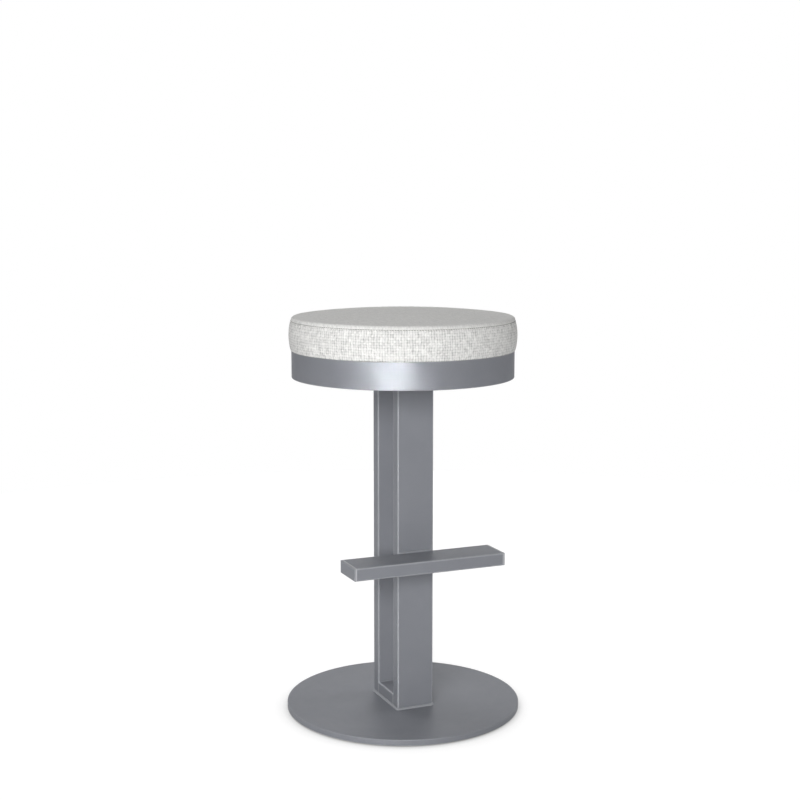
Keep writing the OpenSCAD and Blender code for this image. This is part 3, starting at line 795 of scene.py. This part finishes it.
def panel_mesh(name, rings, painted_contact_shadow):
    """A cloth shell from its rings. A ring may have half as many points as the one before it, and closed
    fills the last ring round a middle point."""
    form = bmesh.new()
    rows = [[form.verts.new(point) for point in ring] for ring in rings]
    for a, b in zip(rows, rows[1:]):
        n, half = len(a), len(a) > len(b)
        for i in range(len(b)):
            j = (i + 1) % len(b)
            if half:
                form.faces.new((a[2 * i], a[2 * i + 1], b[i]))
                form.faces.new((a[2 * i + 1], b[j], b[i]))
                form.faces.new((a[2 * i + 1], a[(2 * i + 2) % n], b[j]))
            else:
                form.faces.new((a[i], a[j], b[j], b[i]))
    if painted_contact_shadow:
        centre = sum((Vector(p) for p in rings[-1]), Vector()) / len(rings[-1])
        middle = form.verts.new(centre + Vector((0, 0, middle_rise)))
        for i, v in enumerate(rows[-1]):
            form.faces.new((v, rows[-1][(i + 1) % len(rows[-1])], middle))
    mesh = bpy.data.meshes.new(name)
    form.to_mesh(mesh)
    form.free()
    mesh.shade_smooth()
    panel = bpy.data.objects.new(name, mesh)
    bpy.context.collection.objects.link(panel)
    thickness = panel.modifiers.new("cloth_thickness", "SOLIDIFY")
    thickness.thickness = cloth_thickness
    thickness.offset = -1
    panel.data = bpy.data.meshes.new_from_object(panel.evaluated_get(bpy.context.evaluated_depsgraph_get()))
    panel.modifiers.clear()
    return panel


edge_radius = seam_radius - turn_radius
hem_radii = np.linspace(board_edge - hem_width, foot_radius - tuck_radius, hem_rings)
side_rings = [ring_points(r, seat_frame_top) for r in hem_radii]
tuck_centre = (foot_radius - tuck_radius, seat_frame_top + tuck_radius)
tuck = arc(tuck_centre, tuck_radius, -90, tuck_end, tuck_points)
side_rings += [ring_points(r, z) for r, z in tuck[1:-1]]
side_shares = 1 - (1 - np.linspace(0, 1, side_ring_count)) ** side_crowding
if fullness is None:
    side_growth = [(0.0, 0.0)] * len(side_shares)
    side_points = spread(side_section(side_bulge), side_shares)
else:
    side_growth = [grown(share, 0, sim_side) for share in side_shares]
    fuller = cut_bulge / max(growth[0].mean() for growth in side_growth)
    side_growth = [(growth[0] * fuller, growth[1] * fuller) for growth in side_growth]
    side_points = spread(side_section(side_bulge - cut_bulge), side_shares)
side_rings += [ring_points(r, z, growth) for (r, z), growth in zip(side_points, side_growth)]
turned_edge = arc((edge_radius, seam_height - seam_half_width), turn_radius, 0, 90, edge_points)[1:]
side_rings += [ring_points(r, z) for r, z in turned_edge]
side_rings += [ring_points(edge_radius - seam_allowance * s, seam_height - seam_gap)
               for s in allowance_shares]
side_panel = panel_mesh("cover_side_strip", side_rings, painted_contact_shadow=False)

edge_radius = rim_centre[0] + rim_radius - turn_radius
top_rings = [ring_points(edge_radius - seam_allowance * s, seam_height + seam_gap)
             for s in allowance_shares[::-1]]
turned_edge = arc((edge_radius, seam_height + seam_gap + turn_radius), turn_radius, -90, 0, edge_points)[:-1]
top_rings += [ring_points(r, z) for r, z in turned_edge]
top_shares = np.concatenate([rim_shares, crown_shares])
if fullness is None:
    top_growth = [(0.0, 0.0)] * len(top_shares)
    top_points = spread(top_section(crown_top), top_shares)
else:
    top_growth = [grown(share, sim_side + 1, sim_top) for share in top_shares]
    fuller = cut_crown / top_growth[-1][1].mean()
    top_growth = [(growth[0] * fuller, growth[1] * fuller) for growth in top_growth]
    top_points = spread(top_section(crown_top - cut_crown), top_shares)
for share, (r, z), growth in zip(top_shares, top_points, top_growth):
    skip = next(skip for limit, skip in thinned_rings if share < limit)
    top_rings.append(ring_points(r, z, growth)[::skip])
top_panel = panel_mesh("cover_top_panel", top_rings, painted_contact_shadow=True)


# Cover cloth
# A heavy heathered hopsack: pale yarns of uneven thickness go in pairs over and under one another, and shade
# is painted into the small gaps where the pairs cross. Round the side the warp stands upright. On the top it
# runs front to back.
pair_pitch = 0.0050
slub_length = 0.018
yarn_roundness = 0.4
split_depth = 0.35
split_base = 0.65
warp_swing = 0.24
warp_level = 0.76
weft_swing = 0.38
weft_level = 0.54
weave_depth = 0.0005
wander_cells = 90.0
wander_pairs = 0.14
yarn_step = 0.62
open_cells = 120.0
open_least = 0.25
gap_sharpness = 1.5
fibre_cells = 2600.0
fibre_tone = 0.04
fibre_gloss = 0.08
fibre_depth = 0.00004
cloth_roughness = 0.86
yarn_tint = Vector((1.0, 0.995, 0.975))


def woven_cloth(name, upright, contrast, darkest, lightest):
    """Hopsack weave, followed round the side if upright, else laid flat on the top. contrast is how much
    shade is painted into its gaps, and darkest and lightest are the grey levels between which its yarns vary."""
    material, tree, shader = new_material(name)
    point = add_node(tree, "SeparateXYZ", {0: place(tree)}).outputs
    across, along = point["X"], point["Y"]
    if upright:
        across = calc(tree, "MULTIPLY", calc(tree, "ARCTAN2", point["Y"], point["X"]), seam_radius)
        along = point["Z"]
    wander = noise(tree, place(tree), wander_cells, low=-wander_pairs, high=wander_pairs)
    warp, weft = (calc(tree, "ADD", calc(tree, "DIVIDE", value, pair_pitch), wander)
                  for value in (across, along))
    cells = calc(tree, "ADD", calc(tree, "FLOOR", warp), calc(tree, "FLOOR", weft))
    parity = calc(tree, "FRACT", calc(tree, "MULTIPLY", cells, 0.5))
    over = calc(tree, "MULTIPLY_ADD", parity, 4.0, -1.0)
    arches = [calc(tree, "SINE", calc(tree, "MULTIPLY", calc(tree, "FRACT", value), math.pi))
              for value in (warp, weft)]
    rounds = []
    for value, arch in zip((warp, weft), arches):
        yarn = calc(tree, "ABSOLUTE", calc(tree, "SINE", calc(tree, "MULTIPLY", value, 2 * math.pi)))
        pair = calc(tree, "POWER", arch, yarn_roundness)
        split = calc(tree, "MULTIPLY_ADD", yarn, split_depth, split_base)
        rounds.append(calc(tree, "MULTIPLY", pair, split))
    warp_rise = calc(tree, "MULTIPLY", over, warp_swing)
    weft_rise = calc(tree, "MULTIPLY", over, -weft_swing)
    warp_wave = calc(tree, "MULTIPLY_ADD", warp_rise, arches[1], warp_level)
    warp_height = calc(tree, "MULTIPLY", rounds[0], warp_wave)
    weft_wave = calc(tree, "MULTIPLY_ADD", weft_rise, arches[0], weft_level)
    weft_height = calc(tree, "MULTIPLY", rounds[1], weft_wave)
    yarn_sets = (
        (warp, along, slub_length, 3.1, 0.0),
        (weft, across, slub_length / 2, 17.4, 0.45),
    )
    tones = []
    for value, run, slub, seed, low in yarn_sets:
        number = calc(tree, "FLOOR", calc(tree, "MULTIPLY", value, 2.0))
        where = add_node(tree, "CombineXYZ", {
            0: calc(tree, "MULTIPLY", number, yarn_step), 1: calc(tree, "DIVIDE", run, slub), 2: seed,
        }).outputs[0]
        tones.append(noise(tree, where, 1.0, detail=2.0, low=low))
    on_warp = calc(tree, "GREATER_THAN", warp_height, weft_height)
    tone = add_node(tree, "Mix", {"Factor": on_warp, "A": tones[1], "B": tones[0]}).outputs["Result"]
    height = calc(tree, "MAXIMUM", warp_height, weft_height)
    yarn = two_tone(tree, tone, tuple(yarn_tint * darkest), tuple(yarn_tint * lightest))
    fuzz = noise(tree, place(tree), fibre_cells, detail=3.0)
    # Painted shade in the weave's hollows: deepest between the yarns, and varied from place to place by
    # open_weave.
    open_weave = noise(tree, place(tree), open_cells, detail=2.0, low=open_least, high=1.0)
    hollow = calc(tree, "POWER", calc(tree, "SUBTRACT", 1.0, height), gap_sharpness)
    gap = calc(tree, "MULTIPLY", hollow, open_weave)
    shade = calc(tree, "MULTIPLY_ADD", gap, -contrast, calc(tree, "MULTIPLY_ADD", fuzz, fibre_tone, 1.0))
    grey = add_node(tree, "CombineColor", {0: shade, 1: shade, 2: shade}).outputs[0]
    cloth = add_node(tree, "Mix", {"Factor": 1.0, "A": yarn, "B": grey},
                     data_type="RGBA", blend_type="MULTIPLY").outputs["Result"]
    fibres = bump(tree, fuzz, fibre_depth)
    set_inputs(
        tree, shader,
        Base_Color=cloth,
        Roughness=calc(tree, "MULTIPLY_ADD", fuzz, fibre_gloss, cloth_roughness),
        Specular_IOR_Level=0.05,
        Sheen_Weight=0.08,
        Sheen_Roughness=0.4,
        Normal=bump(tree, height, weave_depth, fibres),
    )
    return material


side_cloth = woven_cloth("side_cloth", upright=True, contrast=1.1, darkest=0.66, lightest=0.97)
# Painted shade: the top panel is the same cloth as the side strip, given darker yarn tones and fainter gap
# shade, so that it renders darker and smoother than the side.
shaded_top_cloth = woven_cloth("shaded_top_cloth", upright=False, contrast=0.34, darkest=0.71, lightest=0.83)
for panel, node, cloth in ((side_panel, "cover_side", side_cloth), (top_panel, "cover_top", shaded_top_cloth)):
    panel.data.materials.append(cloth)
    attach(panel, "seat")
    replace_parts(panel, node)


# Seam stitches
# Thick polyester thread, five millimetres to the stitch, which dips into the groove between the two panels
# and draws them together. Its dark grey is partly the thread's own colour and partly painted shade of the
# groove.
thread_radius = 0.00042
thread_sides = 6
thread_steps = 6
thread_end = 0.06
stitch_share = 0.68
stitch_inset = 0.0007
stitch_dip = 0.0005
# The thread's dark tones also paint in the shade of the seam's groove.
strand_dark = (0.17, 0.168, 0.162)
strand_light = (0.27, 0.267, 0.257)
strand_bands = 260.0
strand_twist = 1.5
thread_gloss_cells = 900.0
strand_depth = 0.00008
form = bmesh.new()
stitch_arc = 2 * math.pi / stitch_count
for number in range(stitch_count):
    rings = []
    for i in range(thread_steps + 1):
        t = 2 * i / thread_steps - 1
        turn = stitch_arc * (number + 0.5 + 0.5 * stitch_share * t)
        ray = Vector((math.cos(turn), math.sin(turn), 0))
        middle = ray * (seam_radius - stitch_inset - stitch_dip * t * t) + Vector((0, 0, seam_height))
        size = thread_radius * math.sqrt(max(thread_end, 1 - t ** 6))
        rings.append([form.verts.new(middle + (ray * math.cos(a) + Vector((0, 0, 1)) * math.sin(a)) * size)
                      for a in (2 * math.pi * k / thread_sides for k in range(thread_sides))])
    for a, b in zip(rings, rings[1:]):
        for k in range(thread_sides):
            form.faces.new((a[k], a[(k + 1) % thread_sides], b[(k + 1) % thread_sides], b[k]))
    form.faces.new(rings[0])
    form.faces.new(rings[-1])
bmesh.ops.recalc_face_normals(form, faces=form.faces)
stitch_mesh = bpy.data.meshes.new("seam_stitches")
form.to_mesh(stitch_mesh)
form.free()
stitch_mesh.shade_smooth()
stitches = bpy.data.objects.new("seam_stitches", stitch_mesh)
bpy.context.collection.objects.link(stitches)
seam_thread, tree, shader = new_material("seam_thread")
where = place(tree)
strands = add_node(tree, "TexWave", {"Vector": where, "Scale": strand_bands, "Distortion": strand_twist},
                   bands_direction="DIAGONAL").outputs["Fac"]
set_inputs(
    tree, shader,
    Base_Color=two_tone(tree, strands, strand_dark, strand_light),
    Roughness=noise(tree, where, thread_gloss_cells, low=0.6, high=0.75),
    Normal=bump(tree, strands, strand_depth),
)
stitch_mesh.materials.append(seam_thread)
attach(stitches, "seat")


# Foam pad
# Moulded open-cell foam, crowned on top, with a recess for the board underneath. The seam allowance of the
# cover presses a groove into its side.
foam_clear = 0.0003
foam_turns = 120
foam_middle = 0.012
foam_skin = cloth_thickness + foam_clear
groove = 0.0007
groove_clear = 0.0012
lower_lip_inset = 0.0006
lower_lip_drop = 0.0012
upper_lip_inset = 0.0004
upper_lip_rise = 0.0008
pore_cells = 900.0
pore_depth = 0.0004
foam_gloss_cells = 500.0
foam_dark = (0.66, 0.58, 0.38)
foam_light = (0.86, 0.79, 0.58)


def inside_cover(points, growth):
    """The foam's half section, a cloth's thickness inside the lowest places of a panel."""
    section = np.array([[r + np.min(out), z + np.min(up)] for (r, z), (out, up) in zip(points, growth)])
    along = np.gradient(section, axis=0)
    along /= np.linalg.norm(along, axis=1, keepdims=True)
    return section - np.column_stack([along[:, 1], -along[:, 0]]) * (foam_skin + uneven)


foam_side = inside_cover(side_points, side_growth)
foam_top = inside_cover(top_points, top_growth)
board_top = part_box("seat_board")[1].z
groove_floor = seam_radius - foam_skin - seam_allowance - groove_clear
groove_low = seam_height - cloth_thickness - groove
groove_high = seam_height + cloth_thickness + groove
foam_section = [
    (foam_middle, board_top + foam_clear),
    (board_edge + foam_clear, board_top + foam_clear),
    (board_edge + foam_clear, seat_frame_top + foam_skin),
    (foot_radius - tuck_radius, seat_frame_top + foam_skin),
    *foam_side[1:-1:2],
    (seam_radius - foam_skin - lower_lip_inset, groove_low - lower_lip_drop),
    (groove_floor, groove_low),
    (groove_floor, groove_high),
    (rim_centre[0] + rim_radius - foam_skin - upper_lip_inset, groove_high + upper_lip_rise),
    *foam_top[3:-1:2],
]
form = bmesh.new()
foam_rows = [[form.verts.new((r * math.cos(a), r * math.sin(a), z))
              for a in (2 * math.pi * k / foam_turns for k in range(foam_turns))] for r, z in foam_section]
for a, b in zip(foam_rows, foam_rows[1:]):
    for k in range(foam_turns):
        form.faces.new((a[k], a[(k + 1) % foam_turns], b[(k + 1) % foam_turns], b[k]))
for row in (foam_rows[0], foam_rows[-1]):
    form.faces.new(row)
bmesh.ops.recalc_face_normals(form, faces=form.faces)
foam_mesh = bpy.data.meshes.new("foam_core")
form.to_mesh(foam_mesh)
form.free()
foam_mesh.shade_smooth()
foam = bpy.data.objects.new("foam_core", foam_mesh)
bpy.context.collection.objects.link(foam)
foam_cells, tree, shader = new_material("seat_foam")
where = place(tree)
pores = add_node(tree, "TexVoronoi", {"Vector": where, "Scale": pore_cells}).outputs["Distance"]
set_inputs(
    tree, shader,
    Base_Color=two_tone(tree, pores, foam_dark, foam_light),
    Roughness=noise(tree, where, foam_gloss_cells, low=0.85, high=0.95),
    Subsurface_Weight=0.1,
    Normal=bump(tree, pores, pore_depth),
)
foam_mesh.materials.append(foam_cells)
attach(foam, "seat")
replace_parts(foam, "foam_pad")


# Cover staples
# Zinc plated wire staples, driven up through the hem of the cover into the underside of the board.
# They hold the cover all round.
colour_nodes(zinc_plate, "cover_staples")
